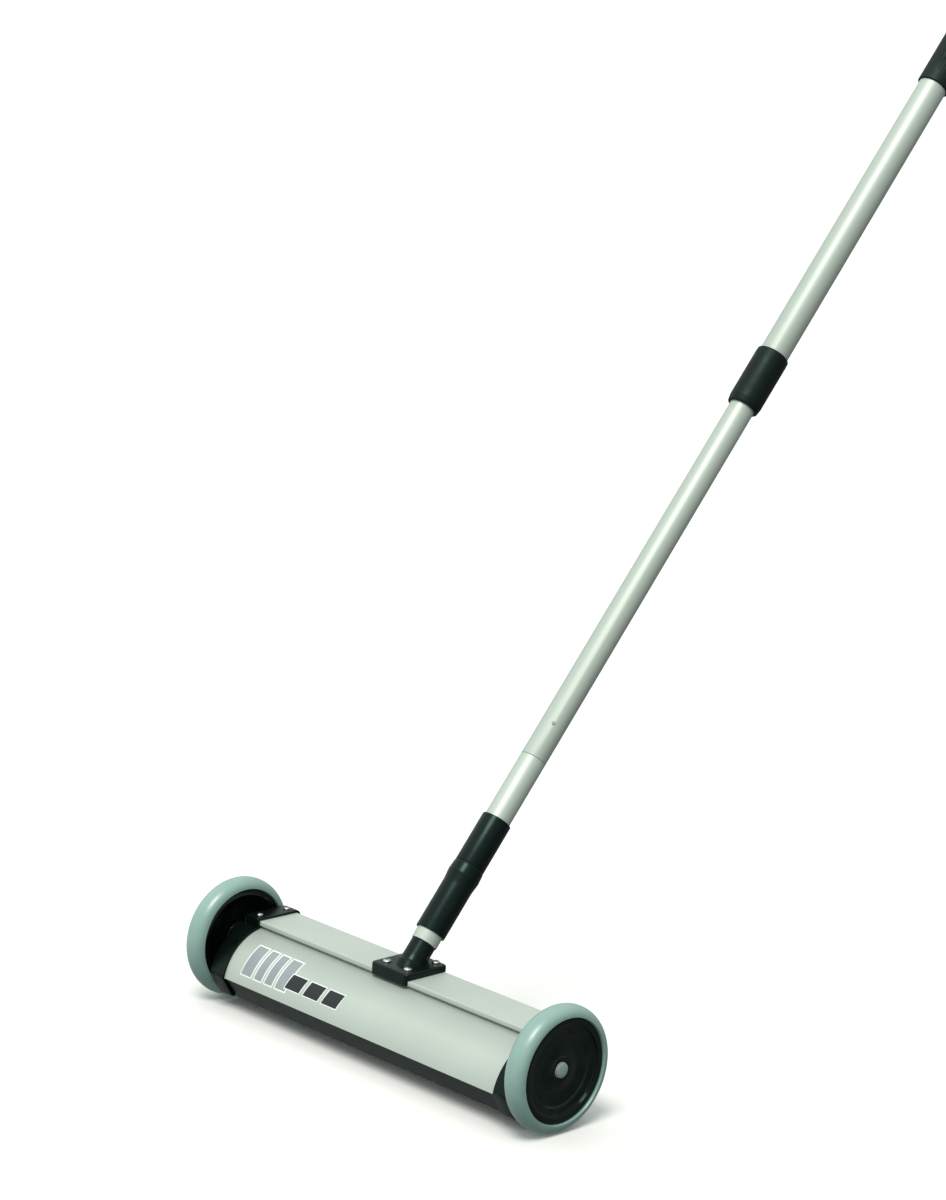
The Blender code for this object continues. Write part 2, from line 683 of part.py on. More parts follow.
def sleeve_top_profile():
    joint = FLARE_SPAN[1] + GAP
    plug_low = FLARE_SPAN[0] + 5 * MM + GAP
    plug_radius = SLEEVE_RADIUS - 0.5 * MM - GAP
    edge = 1.5 * MM
    return [
        (SLEEVE_BORE, SLEEVE_TOP),
        (SLEEVE_RADIUS - edge, SLEEVE_TOP),
        (SLEEVE_RADIUS - edge * 0.3, SLEEVE_TOP - edge * 0.3),
        (SLEEVE_RADIUS, SLEEVE_TOP - edge),
        (SLEEVE_RADIUS, joint),
        (plug_radius, joint),
        (plug_radius, plug_low),
        (SLEEVE_BORE, plug_low),
    ]


def make_release(pole):
    """The sleeve, pin and rod that lift the magnets along the pole."""
    sleeve = turned("release_sleeve", sleeve_profile(), pole, black_plastic)
    turn = (0, math.pi / 2, 0)
    pocket = SLEEVE_RADIUS - 0.9 * MM
    hole = round_cutter("pin_hole", PIN_RADIUS + GAP, -pocket, pocket, pole, (0, 0, PIN_AT), turn)
    cut(sleeve, hole)
    turned("sleeve_top", sleeve_top_profile(), pole, black_plastic)
    reach = pocket - GAP
    pin = mesh_object("cross_pin", cylinder_mesh("cross_pin", PIN_RADIUS, -reach, reach, 24))
    pin.location = (0, 0, PIN_AT)
    pin.rotation_euler = turn
    place(pin, pole, screw_steel)
    rod = mesh_object("lift_rod", cylinder_mesh("lift_rod", ROD_RADIUS, *ROD_SPAN, 32))
    place(rod, pole, screw_steel)
    cut(rod, hole)


def make_magnets(carriage, pole):
    """Five blocks under a steel channel, hung from the lift rod by a block."""
    top = MAGNET_BOTTOM_Z + MAGNET_SIZE.z
    sheet_low, sheet_high = top + GAP, top + GAP + CARRIER_SHEET
    half_y = MAGNET_SIZE.y / 2 + 2 * GAP
    outer = half_y + CARRIER_SHEET
    foot = sheet_high - CARRIER_LEG
    outline = [(outer, foot), (outer, sheet_high), (-outer, sheet_high), (-outer, foot)]
    outline += [(-half_y, foot), (-half_y, sheet_low), (half_y, sheet_low), (half_y, foot)]
    outline = [(MAGNET_Y + y, z) for y, z in outline]
    mesh = section_mesh("magnet_carrier", outline, -CARRIER_HALF_X, CARRIER_HALF_X)
    carrier = place(mesh_object("magnet_carrier", mesh), carriage, steel_sheet)
    for index in range(MAGNET_COUNT):
        center_x = (index - (MAGNET_COUNT - 1) / 2) * MAGNET_PITCH
        middle = Vector((center_x, MAGNET_Y, MAGNET_BOTTOM_Z + MAGNET_SIZE.z / 2))
        name = f"magnet_{index + 1}"
        magnet = mesh_object(name, box_mesh(name, -MAGNET_SIZE / 2, MAGNET_SIZE / 2))
        magnet.location = middle
        place(magnet, carriage, ferrite)
        bevel(magnet, 0.8 * MM, 1)
    block_low = sheet_high + GAP
    low, high = (-BLOCK_HALF_X, BLOCK_Y[0], block_low), (BLOCK_HALF_X, BLOCK_Y[1], block_low + BLOCK_HEIGHT)
    block = place(mesh_object("lift_block", box_mesh("lift_block", low, high)), carriage, aluminium)
    cut(block, round_cutter("rod_socket", ROD_RADIUS + GAP, ROD_SPAN[0] - GAP, 0, pole, segments=32))
    middle_y = sum(BLOCK_Y) / 2
    spots = []
    for label, sign in SIDES:
        spot = (sign * BLOCK_SCREW_X, middle_y, block_low + BLOCK_HEIGHT + GAP)
        spots.append((label, spot))
        hole = round_cutter(f"block_hole_{label}", 1.9 * MM, -18 * MM, 5 * MM, carriage, spot, segments=12)
        cut(block, hole)
        cut(carrier, hole)
    length = BLOCK_HEIGHT + CARRIER_SHEET + GAP
    screw_set("block_screw", screw_mesh("block_screw", 3 * MM, 1.8 * MM, 1.6 * MM, length), spots, carriage, screw_steel)


def make_tube_joint(pole):
    """The two lower tubes meet end to end over a coupling, which a rivet holds in the upper one."""
    inner = TUBE_RADIUS - TUBE_WALL
    low = BASE_TUBE_TOP + GAP
    tube = turned("mid_tube", tube_profile(TUBE_RADIUS, inner, low, MID_TUBE_TOP), pole, aluminium)
    bore = COUPLING_RADIUS - COUPLING_WALL
    coupling = turned("tube_coupling", tube_profile(COUPLING_RADIUS, bore, *COUPLING_SPAN), pole, aluminium)
    guide_bore = 8 * MM
    guide = [
        (guide_bore, MID_TUBE_TOP + 8 * MM),
        (TUBE_RADIUS, MID_TUBE_TOP + 8 * MM),
        (TUBE_RADIUS + 0.2 * MM, MID_TUBE_TOP + 7 * MM),
        (TUBE_RADIUS + 0.2 * MM, MID_TUBE_TOP + GAP),
        (inner - GAP, MID_TUBE_TOP + GAP),
        (inner - GAP, MID_TUBE_TOP - 22 * MM),
        (guide_bore, MID_TUBE_TOP - 22 * MM),
    ]
    turned("tube_end_guide", guide, pole, nylon)
    # The rivet's axis leaves the tube at the front, turned towards +X; local +Z points outwards.
    outward = Matrix.Rotation(RIVET_TURN, 4, "Z") @ Matrix.Rotation(math.pi / 2, 4, "X")
    axis = new_empty("rivet_axis", (0, 0, RIVET_AT), outward.to_euler())
    axis.parent = pole
    hole = round_cutter("rivet_hole", RIVET_RADIUS + GAP, 2 * MM, 20 * MM, axis, segments=16)
    cut(tube, hole)
    cut(coupling, hole)
    seat = TUBE_RADIUS + GAP
    rivet = [
        (0, seat + 0.8 * MM),
        (RIVET_HEAD_RADIUS * 0.7, seat + 0.6 * MM),
        (RIVET_HEAD_RADIUS, seat),
        (RIVET_RADIUS, seat),
        (RIVET_RADIUS, bore - 1.5 * MM),
        (0, bore - 1.5 * MM),
    ]
    turned("coupling_rivet", rivet, axis, screw_steel, 16)


def make_extension(pole):
    """The upper tube with its twist lock, grip and end plug."""
    inner = UPPER_RADIUS - UPPER_WALL
    turned("upper_tube", tube_profile(UPPER_RADIUS, inner, *UPPER_TUBE_SPAN), pole, aluminium)
    low, high = COLLAR_SPAN
    step = UPPER_TUBE_SPAN[0] - GAP
    ferrule_low = low + 3 * MM
    ferrule = [
        (UPPER_RADIUS + 0.2 * MM, FERRULE_TOP),
        (UPPER_RADIUS + 1 * MM, FERRULE_TOP),
        (UPPER_RADIUS + 1 * MM, step - 6 * MM),
        (UPPER_RADIUS - 0.3 * MM, ferrule_low),
        (TUBE_RADIUS + GAP, ferrule_low),
        (TUBE_RADIUS + GAP, step),
        (UPPER_RADIUS + 0.2 * MM, step),
    ]
    turned("lock_ferrule", ferrule, pole, nylon)
    wall = COLLAR_RADIUS - 1.25 * MM
    collar = [
        (UPPER_RADIUS + GAP, high),
        (COLLAR_RADIUS - 1.8 * MM, high),
        (COLLAR_RADIUS - 0.5 * MM, high - 0.6 * MM),
        (COLLAR_RADIUS, high - 2 * MM),
        (COLLAR_RADIUS, low + 5 * MM),
        (COLLAR_RADIUS - 0.6 * MM, low + 2.2 * MM),
        (COLLAR_RADIUS - 2.3 * MM, low),
        (TUBE_RADIUS + GAP, low),
        (TUBE_RADIUS + GAP, ferrule_low - 2 * GAP),
        (UPPER_RADIUS, ferrule_low - 2 * GAP),
        (wall, step - 6 * MM),
        (wall, FERRULE_TOP + 2 * GAP),
        (UPPER_RADIUS + GAP, FERRULE_TOP + 2 * GAP),
    ]
    turned("lock_collar", collar, pole, black_plastic)
    grip = [
        (UPPER_RADIUS + 0.2 * MM, GRIP_TOP),
        (GRIP_RADIUS - 1 * MM, GRIP_TOP),
        (GRIP_RADIUS, GRIP_TOP - 2 * MM),
        (GRIP_RADIUS, GRIP_BOTTOM + 8 * MM),
        (UPPER_RADIUS + 1 * MM, GRIP_BOTTOM),
        (UPPER_RADIUS + 0.2 * MM, GRIP_BOTTOM),
    ]
    turned("grip", grip, pole, grip_rubber)
    plug = [
        (0, PLUG_TOP),
        (13 * MM, PLUG_TOP),
        (16.5 * MM, PLUG_TOP - 1.6 * MM),
        (17.4 * MM, PLUG_TOP - 4 * MM),
        (17.4 * MM, GRIP_TOP + GAP),
        (inner - GAP, GRIP_TOP + GAP),
        (inner - GAP, GRIP_TOP - 25 * MM),
        (0, GRIP_TOP - 25 * MM),
    ]
    turned("grip_plug", plug, pole, black_plastic)


clear_scene()
parts = new_collection("magnetic_nail_sweeper")
cutters = new_collection("cutters")

paint = new_material("paint", (0.62, 0.68, 0.64), 0.4, 0.2)
black_plastic = new_material("black_plastic", (0.02, 0.025, 0.024), 0.4)
gloss_plastic = new_material("gloss_plastic", (0.012, 0.014, 0.014), 0.15)
tyre_rubber = new_material("tyre_rubber", (0.5, 0.6, 0.55), 0.45)
aluminium = new_material("aluminium", (0.8, 0.8, 0.76), 0.3, 1.0)
steel_sheet = new_material("steel_sheet", (0.55, 0.56, 0.56), 0.35, 1.0)
screw_steel = new_material("screw_steel", (0.75, 0.75, 0.74), 0.25, 1.0)
zinc = new_material("zinc", (0.5, 0.58, 0.54), 0.4, 0.8)
nylon = new_material("nylon", (0.75, 0.74, 0.7), 0.5)
ferrite = new_material("ferrite", (0.07, 0.07, 0.075), 0.6, 0.3)
grip_rubber = new_material("grip_rubber", (0.02, 0.022, 0.022), 0.7)

chassis_origin = new_empty("chassis_origin", (0, 0, WHEEL_RADIUS))
pole_axis = new_empty("pole_axis", (0, POLE_FOOT_Y, ROOF_Z), (POLE_ANGLE - math.pi / 2, 0, 0))
pole_axis.parent = chassis_origin
carriage_origin = new_empty("carriage_origin", (0, 0, 0))
carriage_origin.parent = chassis_origin
bpy.context.view_layer.update()

make_housing(chassis_origin)
for side_label, side_sign in SIDES:
    make_end_cap(chassis_origin, side_label, side_sign)
    make_wheel(side_label, side_sign)
make_housing_screws(chassis_origin)
make_bracket(chassis_origin, pole_axis)
make_base_tube(pole_axis)
make_return_spring(pole_axis)
make_release(pole_axis)
make_magnets(carriage_origin, pole_axis)
make_tube_joint(pole_axis)
make_extension(pole_axis)
bpy.context.view_layer.update()
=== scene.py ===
"""Looks of a push-along magnetic nail sweeper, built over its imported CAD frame."""

import json
import math

import bmesh
import bpy
from mathutils import Matrix, Vector


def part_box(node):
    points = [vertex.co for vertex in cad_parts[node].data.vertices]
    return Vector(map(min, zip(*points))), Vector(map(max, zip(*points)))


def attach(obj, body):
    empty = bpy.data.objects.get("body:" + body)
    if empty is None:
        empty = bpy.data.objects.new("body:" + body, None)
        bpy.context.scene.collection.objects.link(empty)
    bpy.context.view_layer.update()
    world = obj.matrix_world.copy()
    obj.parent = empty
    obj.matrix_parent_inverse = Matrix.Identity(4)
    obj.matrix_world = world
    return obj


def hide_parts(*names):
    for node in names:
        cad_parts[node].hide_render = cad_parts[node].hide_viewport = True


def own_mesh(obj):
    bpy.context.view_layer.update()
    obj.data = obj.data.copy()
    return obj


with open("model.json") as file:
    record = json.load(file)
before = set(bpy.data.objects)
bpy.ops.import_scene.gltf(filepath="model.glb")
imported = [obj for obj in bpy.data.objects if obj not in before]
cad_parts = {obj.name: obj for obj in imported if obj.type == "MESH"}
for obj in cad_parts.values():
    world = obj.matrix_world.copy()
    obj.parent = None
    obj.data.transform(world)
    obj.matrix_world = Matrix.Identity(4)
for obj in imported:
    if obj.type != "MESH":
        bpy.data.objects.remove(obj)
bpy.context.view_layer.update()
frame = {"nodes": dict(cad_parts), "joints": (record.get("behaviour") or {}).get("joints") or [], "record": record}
MM = 0.001
joints = {j["name"]: j for j in frame["joints"]}
nodes = frame["nodes"]

GAP = 0.3 * MM
SHARP = math.radians(32)
TUBE_WALL = 1.6 * MM

# The housing's section, as (y, z) about the axle: a flat roof whose rail hangs over a bowed front.
BACK_Y = 53.6 * MM
FOOT_Z = -28 * MM
ROOF_Z = 25.4 * MM
RAIL_Z = 20.4 * MM
GROOVE_Y = 3.6 * MM
SHEET = 2 * MM
ROOF_SHEET = 3 * MM
ARC_Y, ARC_Z = 10.5 * MM, -39 * MM
ARC_R = 57 * MM
ARC_END = math.radians(168.9)

# The floor cover's flat underside closes the housing from below.
COVER_Z = -50 * MM
COVER_FRONT, COVER_BACK = -30 * MM, 32 * MM


# ---------------------------------------------------------------- frame measures
def axis_matrix(point, direction, side=Vector((1, 0, 0))):
    """Local +Z along direction, local +X near side."""
    z = Vector(direction).normalized()
    x = (side - side.dot(z) * z).normalized()
    y = z.cross(x)
    turn = Matrix((x, y, z)).transposed().to_4x4()
    return Matrix.Translation(point) @ turn


def span(node, matrix):
    """(lowest z, highest z, largest radius) of a CAD node in an axis frame."""
    inverse = matrix.inverted()
    points = [inverse @ v.co for v in nodes[node].data.vertices]
    heights = [p.z for p in points]
    return min(heights), max(heights), max(math.hypot(p.x, p.y) for p in points)


collar_twist = joints["lock_collar_twist"]
pole_dir = Vector(collar_twist["axis"]).normalized()
roof_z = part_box("housing_shell")[1].z
collar_point = Vector(collar_twist["pos_m"])
foot = collar_point - pole_dir * ((collar_point.z - roof_z) / pole_dir.z)
POLE = axis_matrix(foot, pole_dir)
rivet_centre = sum(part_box("coupling_rivet"), Vector()) / 2
rivet_foot = foot + pole_dir * (rivet_centre - foot).dot(pole_dir)
RIVET = axis_matrix(rivet_foot, rivet_centre - rivet_foot, pole_dir)
WHEEL = {
    side: axis_matrix(joints[f"wheel_{side}_spin"]["pos_m"], (sign, 0, 0), Vector((0, 0, 1)))
    for side, sign in (("left", -1), ("right", 1))
}
axle_z = WHEEL["right"].translation.z
chassis_at = Matrix.Translation((0, 0, axle_z))


# ---------------------------------------------------------------- materials
class Shader:
    """A Principled material built from object-space noise."""

    def __init__(self, name, color, rough, metal=0.0, **sockets):
        self.mat = bpy.data.materials.new(name)
        self.mat.use_nodes = True
        self.tree = self.mat.node_tree
        self.base = self.tree.nodes["Principled BSDF"]
        self.base.inputs["Base Color"].default_value = (*color, 1)
        self.base.inputs["Roughness"].default_value = rough
        self.base.inputs["Metallic"].default_value = metal
        for key, value in sockets.items():
            self.base.inputs[key.replace("_", " ")].default_value = value
        self.normal = None

    def new(self, kind, **values):
        node = self.tree.nodes.new(kind)
        for key, value in values.items():
            node.inputs[key.replace("_", " ")].default_value = value
        return node

    def link(self, a, b):
        self.tree.links.new(a, b)

    def noise(self, scale, stretch=(1, 1, 1), detail=4.0, rough=0.55, distortion=0.0):
        coords = self.tree.nodes.new("ShaderNodeTexCoord")
        mapping = self.new("ShaderNodeMapping", Scale=stretch)
        self.link(coords.outputs["Object"], mapping.inputs["Vector"])
        texture = self.new(
            "ShaderNodeTexNoise", Scale=scale, Detail=detail, Roughness=rough, Distortion=distortion
        )
        self.link(mapping.outputs["Vector"], texture.inputs["Vector"])
        return texture.outputs["Fac"]

    def ramp(self, source, low, high, a, b):
        """Maps source between low and high onto the range a to b."""
        node = self.tree.nodes.new("ShaderNodeMapRange")
        for key, value in (("From Min", low), ("From Max", high), ("To Min", a), ("To Max", b)):
            node.inputs[key].default_value = value
        self.link(source, node.inputs["Value"])
        return node.outputs["Result"]

    def rough(self, source, a, b, low=0.3, high=0.7):
        """Roughness from a to b, as source goes from low to high."""
        self.link(self.ramp(source, low, high, a, b), self.base.inputs["Roughness"])

    def tint(self, source, dark, light, low=0.35, high=0.65):
        """Colour from dark to light, as source goes from low to high."""
        node = self.tree.nodes.new("ShaderNodeValToRGB")
        node.color_ramp.elements[0].position = low
        node.color_ramp.elements[0].color = (*dark, 1)
        node.color_ramp.elements[1].position = high
        node.color_ramp.elements[1].color = (*light, 1)
        self.link(source, node.inputs["Fac"])
        self.link(node.outputs["Color"], self.base.inputs["Base Color"])

    def painted_shade_under(self, edge, reach, behind, dark):
        """Painted shade: darkens the colour softly over reach below the height edge, in front of behind."""
        coords = self.tree.nodes.new("ShaderNodeTexCoord")
        place = self.tree.nodes.new("ShaderNodeSeparateXYZ")
        self.link(coords.outputs["Object"], place.inputs["Vector"])
        share = self.ramp(place.outputs["Z"], edge - reach, edge, 1, dark)
        # Above the edge and behind the front the colour stays whole: the larger share wins.
        for axis, start, soft in (("Z", edge, 0.2 * MM), ("Y", behind, 4 * MM)):
            highest = self.tree.nodes.new("ShaderNodeMath")
            highest.operation = "MAXIMUM"
            self.link(share, highest.inputs[0])
            self.link(self.ramp(place.outputs[axis], start, start + soft, 0, 1), highest.inputs[1])
            share = highest.outputs["Value"]
        scaled = self.tree.nodes.new("ShaderNodeVectorMath")
        scaled.operation = "SCALE"
        color = self.base.inputs["Base Color"]
        self.link(color.links[0].from_socket, scaled.inputs[0])
        self.link(share, scaled.inputs["Scale"])
        self.link(scaled.outputs["Vector"], color)

    def bump(self, source, strength, distance):
        """Adds a bump of up to distance metres on top of any earlier one."""
        node = self.new("ShaderNodeBump", Strength=strength, Distance=distance)
        self.link(source, node.inputs["Height"])
        if self.normal:
            self.link(self.normal, node.inputs["Normal"])
        self.normal = node.outputs["Normal"]
        self.link(self.normal, self.base.inputs["Normal"])


def paint_material():
    s = Shader("sweeper_paint", (0.25, 0.3, 0.27), 0.36, 0.0, Coat_Weight=0.25, Coat_Roughness=0.3)
    s.tint(s.noise(9, detail=6), (0.43, 0.49, 0.45), (0.46, 0.52, 0.48))
    # Painted shade under the rail's overhang, darkening the top of the bowed front.
    s.painted_shade_under(RAIL_Z, reach=20 * MM, behind=6 * MM, dark=0.68)
    s.rough(s.noise(26, detail=6), 0.3, 0.46)
    s.bump(s.noise(900, detail=2), 0.25, 0.00006)
    s.bump(s.noise(60, detail=3), 0.12, 0.0003)
    return s.mat


def moulded_black(name, color, low, high, grain=1400, depth=0.00008):
    s = Shader(name, color, low, Specular_IOR_Level=0.26, Specular_Tint=(0.62, 1, 0.93, 1))
    s.tint(s.noise(35, detail=7), color, tuple(c * 1.7 + 0.001 for c in color), 0.35, 0.75)
    s.rough(s.noise(55, detail=8), low, high)
    s.bump(s.noise(grain, detail=3), 0.35, depth)
    s.bump(s.noise(22, detail=2), 0.1, 0.0005)
    return s.mat


def hub_material():
    specular = {"Specular_IOR_Level": 0.32, "Specular_Tint": (0.7, 1, 0.93, 1)}
    s = Shader("hub_gloss", (0.004, 0.006, 0.006), 0.16, **specular)
    s.tint(s.noise(48, detail=10, rough=0.7), (0.0015, 0.003, 0.0028), (0.008, 0.013, 0.012), 0.45, 0.78)
    s.rough(s.noise(70, detail=10, rough=0.75, distortion=0.6), 0.14, 0.32, 0.42, 0.72)
    s.bump(s.noise(30, detail=3), 0.12, 0.0006)
    return s.mat


def tyre_material():
    s = Shader("tyre_grey", (0.24, 0.34, 0.3), 0.34, 0.0, Coat_Weight=0.85, Coat_Roughness=0.32)
    s.tint(s.noise(14, detail=8, rough=0.65), (0.21, 0.355, 0.325), (0.26, 0.41, 0.375))
    s.rough(s.noise(40, detail=8), 0.26, 0.46)
    s.bump(s.noise(500, detail=3), 0.15, 0.0001)
    s.bump(s.noise(28, detail=2), 0.1, 0.0006)
    return s.mat


def tube_material():
    s = Shader("anodised", (0.56, 0.56, 0.5), 0.4, 0.35)
    s.tint(s.noise(30, (1, 1, 0.05), detail=4), (0.46, 0.53, 0.48), (0.52, 0.59, 0.54))
    s.rough(s.noise(900, (1, 1, 0.004), detail=4), 0.42, 0.55)
    s.bump(s.noise(1500, (1, 1, 0.003), detail=3), 0.1, 0.00005)
    return s.mat


def metal(name, color, low, high, stretch=(1, 1, 1)):
    s = Shader(name, color, low, 1.0)
    s.tint(s.noise(60, detail=6), tuple(c * 0.82 for c in color), color)
    s.rough(s.noise(220, stretch, detail=6), low, high)
    s.bump(s.noise(660, stretch, detail=3), 0.2, 0.00006)
    return s.mat


def plain(name, color, low, high, scale=300, depth=0.00008):
    s = Shader(name, color, low)
    s.tint(s.noise(30, detail=6), tuple(c * 0.86 for c in color), color)
    s.rough(s.noise(60, detail=6), low, high)
    s.bump(s.noise(scale, detail=4), 0.3, depth)
    return s.mat


MATS = {
    "paint": paint_material(),
    "black_plastic": moulded_black("black_moulding", (0.001, 0.0028, 0.0025), 0.24, 0.34),
    "gloss_plastic": hub_material(),
    "tyre_rubber": tyre_material(),
    "aluminium": tube_material(),
    "steel_sheet": metal("rolled_sheet", (0.42, 0.44, 0.43), 0.28, 0.45, (0.03, 1, 1)),
    "screw_steel": metal("bright_steel", (0.75, 0.76, 0.73), 0.14, 0.32),
    "zinc": plain("zinc_green", (0.3, 0.4, 0.35), 0.3, 0.5),
    "nylon": plain("nylon", (0.45, 0.44, 0.39), 0.4, 0.55),
    "ferrite": plain("ferrite", (0.02, 0.02, 0.022), 0.5, 0.75, 700, 0.0002),
    "grip_rubber": moulded_black("grip_rubber", (0.006, 0.008, 0.008), 0.45, 0.7, 1100, 0.00015),
}
CAPS = moulded_black("cap_moulding", (0.001, 0.0025, 0.0022), 0.22, 0.38)
COLLAR = moulded_black("collar_moulding", (0.0012, 0.0028, 0.0025), 0.42, 0.56)
slot_of = {s["node"]: s["material_slot"] for s in frame["record"]["subparts"]}
for node_name, cad in nodes.items():
    cad.data.materials.clear()
    cad.data.materials.append(MATS[slot_of[node_name]])


# ---------------------------------------------------------------- shapes
def rounded(points, radii, steps=6):
    """Replaces corners of a closed outline by arcs; radii is one number or one for each point."""
    count = len(points)
    made = []
    for i, point in enumerate(points):
        radius = radii if isinstance(radii, (int, float)) else radii[i]
        if radius <= 0:
            made.append(tuple(point))
            continue
        here = Vector(point)
        before = Vector(points[i - 1]) - here
        after = Vector(points[(i + 1) % count]) - here
        angle = before.angle(after)
        if angle > math.radians(176):
            made.append(tuple(point))
            continue
        # An arc takes less than half of either edge, so that neighbouring arcs don't meet.
        reach = min(radius / math.tan(angle / 2), before.length * 0.48, after.length * 0.48)
        radius = reach * math.tan(angle / 2)
        start = here + before.normalized() * reach
        end = here + after.normalized() * reach
        middle = (before.normalized() + after.normalized()).normalized()
        centre = here + middle * (radius / math.sin(angle / 2))
        a = start - centre
        sweep = a.angle_signed(end - centre)
        for k in range(steps + 1):
            turn = Matrix.Rotation(-sweep * k / steps, 2)
            made.append(tuple(centre + turn @ a))
    return made


def finish_mesh(name, shape, matrix, slot, body, replaced):
    """Makes the piece from a bmesh; slot is a material slot's name or a material."""
    bmesh.ops.remove_doubles(shape, verts=shape.verts, dist=1e-7)
    bmesh.ops.recalc_face_normals(shape, faces=shape.faces)
    mesh = bpy.data.meshes.new(name)
    shape.to_mesh(mesh)
    shape.free()
    mesh.shade_smooth()
    mesh.set_sharp_from_angle(angle=SHARP)
    obj = bpy.data.objects.new(name, mesh)
    bpy.context.scene.collection.objects.link(obj)
    obj.matrix_world = matrix
    mesh.materials.append(MATS[slot] if slot in MATS else slot)
    bpy.context.view_layer.update()
    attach(obj, body)
    if replaced:
        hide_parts(*replaced)
    return obj


def lathe(name, profile, matrix, slot, body, replaced=(), segments=144, wave=None):
    """Turns a closed (radius, z) profile about local Z; wave(radius, z, angle) may change a radius."""
    shape = bmesh.new()
    rings = []
    for radius, z in profile:
        if radius < 1e-9:
            rings.append([shape.verts.new((0, 0, z))])
            continue
        ring = []
        for k in range(segments):
            a = math.tau * k / segments
            r = wave(radius, z, a) if wave else radius
            ring.append(shape.verts.new((r * math.cos(a), r * math.sin(a), z)))
        rings.append(ring)
    for i, ring in enumerate(rings):
        after = rings[(i + 1) % len(rings)]
        if len(ring) == 1 and len(after) == 1:
            continue
        for k in range(segments):
            m = (k + 1) % segments
            if len(ring) == 1:
                shape.faces.new((ring[0], after[k], after[m]))
            elif len(after) == 1:
                shape.faces.new((ring[k], after[0], ring[m]))
            else:
                shape.faces.new((ring[k], after[k], after[m], ring[m]))
    return finish_mesh(name, shape, matrix, slot, body, replaced)


def section(name, outline, low_x, high_x, slot, body, replaced=(), edge=0.0):
    """Pushes a closed (y, z) outline along X, and softens its end edges."""
    shape = bmesh.new()
    ends = [[shape.verts.new((x, y, z)) for y, z in outline] for x in (low_x, high_x)]
    count = len(outline)
    for k in range(count):
        m = (k + 1) % count
        shape.faces.new((ends[0][k], ends[0][m], ends[1][m], ends[1][k]))
    faces = [shape.faces.new(ends[0]), shape.faces.new(list(reversed(ends[1])))]
    if edge:
        rims = [e for f in faces for e in f.edges]
        bmesh.ops.bevel(shape, geom=rims, offset=edge, segments=3, profile=0.5, affect="EDGES")
    faces = [f for f in shape.faces if len(f.verts) > 4]
    bmesh.ops.triangulate(shape, faces=faces)
    return finish_mesh(name, shape, chassis_at, slot, body, replaced)


def cutter(shape, matrix):
    """A plain object from a bmesh, for a Boolean."""
    mesh = bpy.data.meshes.new("tool")
    shape.to_mesh(mesh)
    shape.free()
    obj = bpy.data.objects.new("tool", mesh)
    bpy.context.scene.collection.objects.link(obj)
    obj.matrix_world = matrix
    return obj


def tool(kind, matrix, low, high, radius=0.0, segments=48):
    """A Boolean cutter: a box between two corners, or a cylinder from low to high."""
    shape = bmesh.new()
    if kind == "box":
        low, high = Vector(low), Vector(high)
        bmesh.ops.create_cube(shape, size=1)
        bmesh.ops.scale(shape, vec=high - low, verts=shape.verts)
        bmesh.ops.translate(shape, vec=(low + high) / 2, verts=shape.verts)
    else:
        bmesh.ops.create_cone(
            shape,
            cap_ends=True,
            segments=segments,
            radius1=radius,
            radius2=radius,
            depth=high - low,
            matrix=Matrix.Translation((0, 0, (low + high) / 2)),
        )
    return cutter(shape, matrix)


def carve(obj, tools, operation="DIFFERENCE"):
    """Applies Booleans and removes the tools."""
    for item in tools:
        step = obj.modifiers.new("carve", "BOOLEAN")
        step.operation = operation
        step.solver = "EXACT"
        step.object = item
    bpy.context.view_layer.update()
    done = bpy.data.meshes.new_from_object(obj.evaluated_get(bpy.context.evaluated_depsgraph_get()))
    obj.modifiers.clear()
    obj.data = done
    for item in tools:
        bpy.data.objects.remove(item)
    done.shade_smooth()
    done.set_sharp_from_angle(angle=SHARP)


def mm(*pairs):
    return [(a * MM, b * MM) for a, b in pairs]


def quarter(steps=8):
    """Angles from zero to a right angle."""
    return [math.pi / 2 * k / steps for k in range(steps + 1)]


def screw_holes(radii, reach):
    """Upright holes through the screws whose names start with the keys of radii."""
    tools = []
    for node in nodes:
        for start, radius in radii.items():
            if node.startswith(start):
                centre = sum(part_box(node), Vector()) / 2
                tools.append(tool("round", Matrix.Translation(centre), -reach, reach, radius, 24))
    return tools


def set_screw_hole():
    """A hole through the front of the post and the base tube."""
    front = POLE.to_3x3() @ Vector((0, -1, 0))
    facing = axis_matrix(foot + pole_dir * 50 * MM, front, Vector((1, 0, 0)))
    return tool("round", facing, 5.4 * MM, 20 * MM, 2.3 * MM)


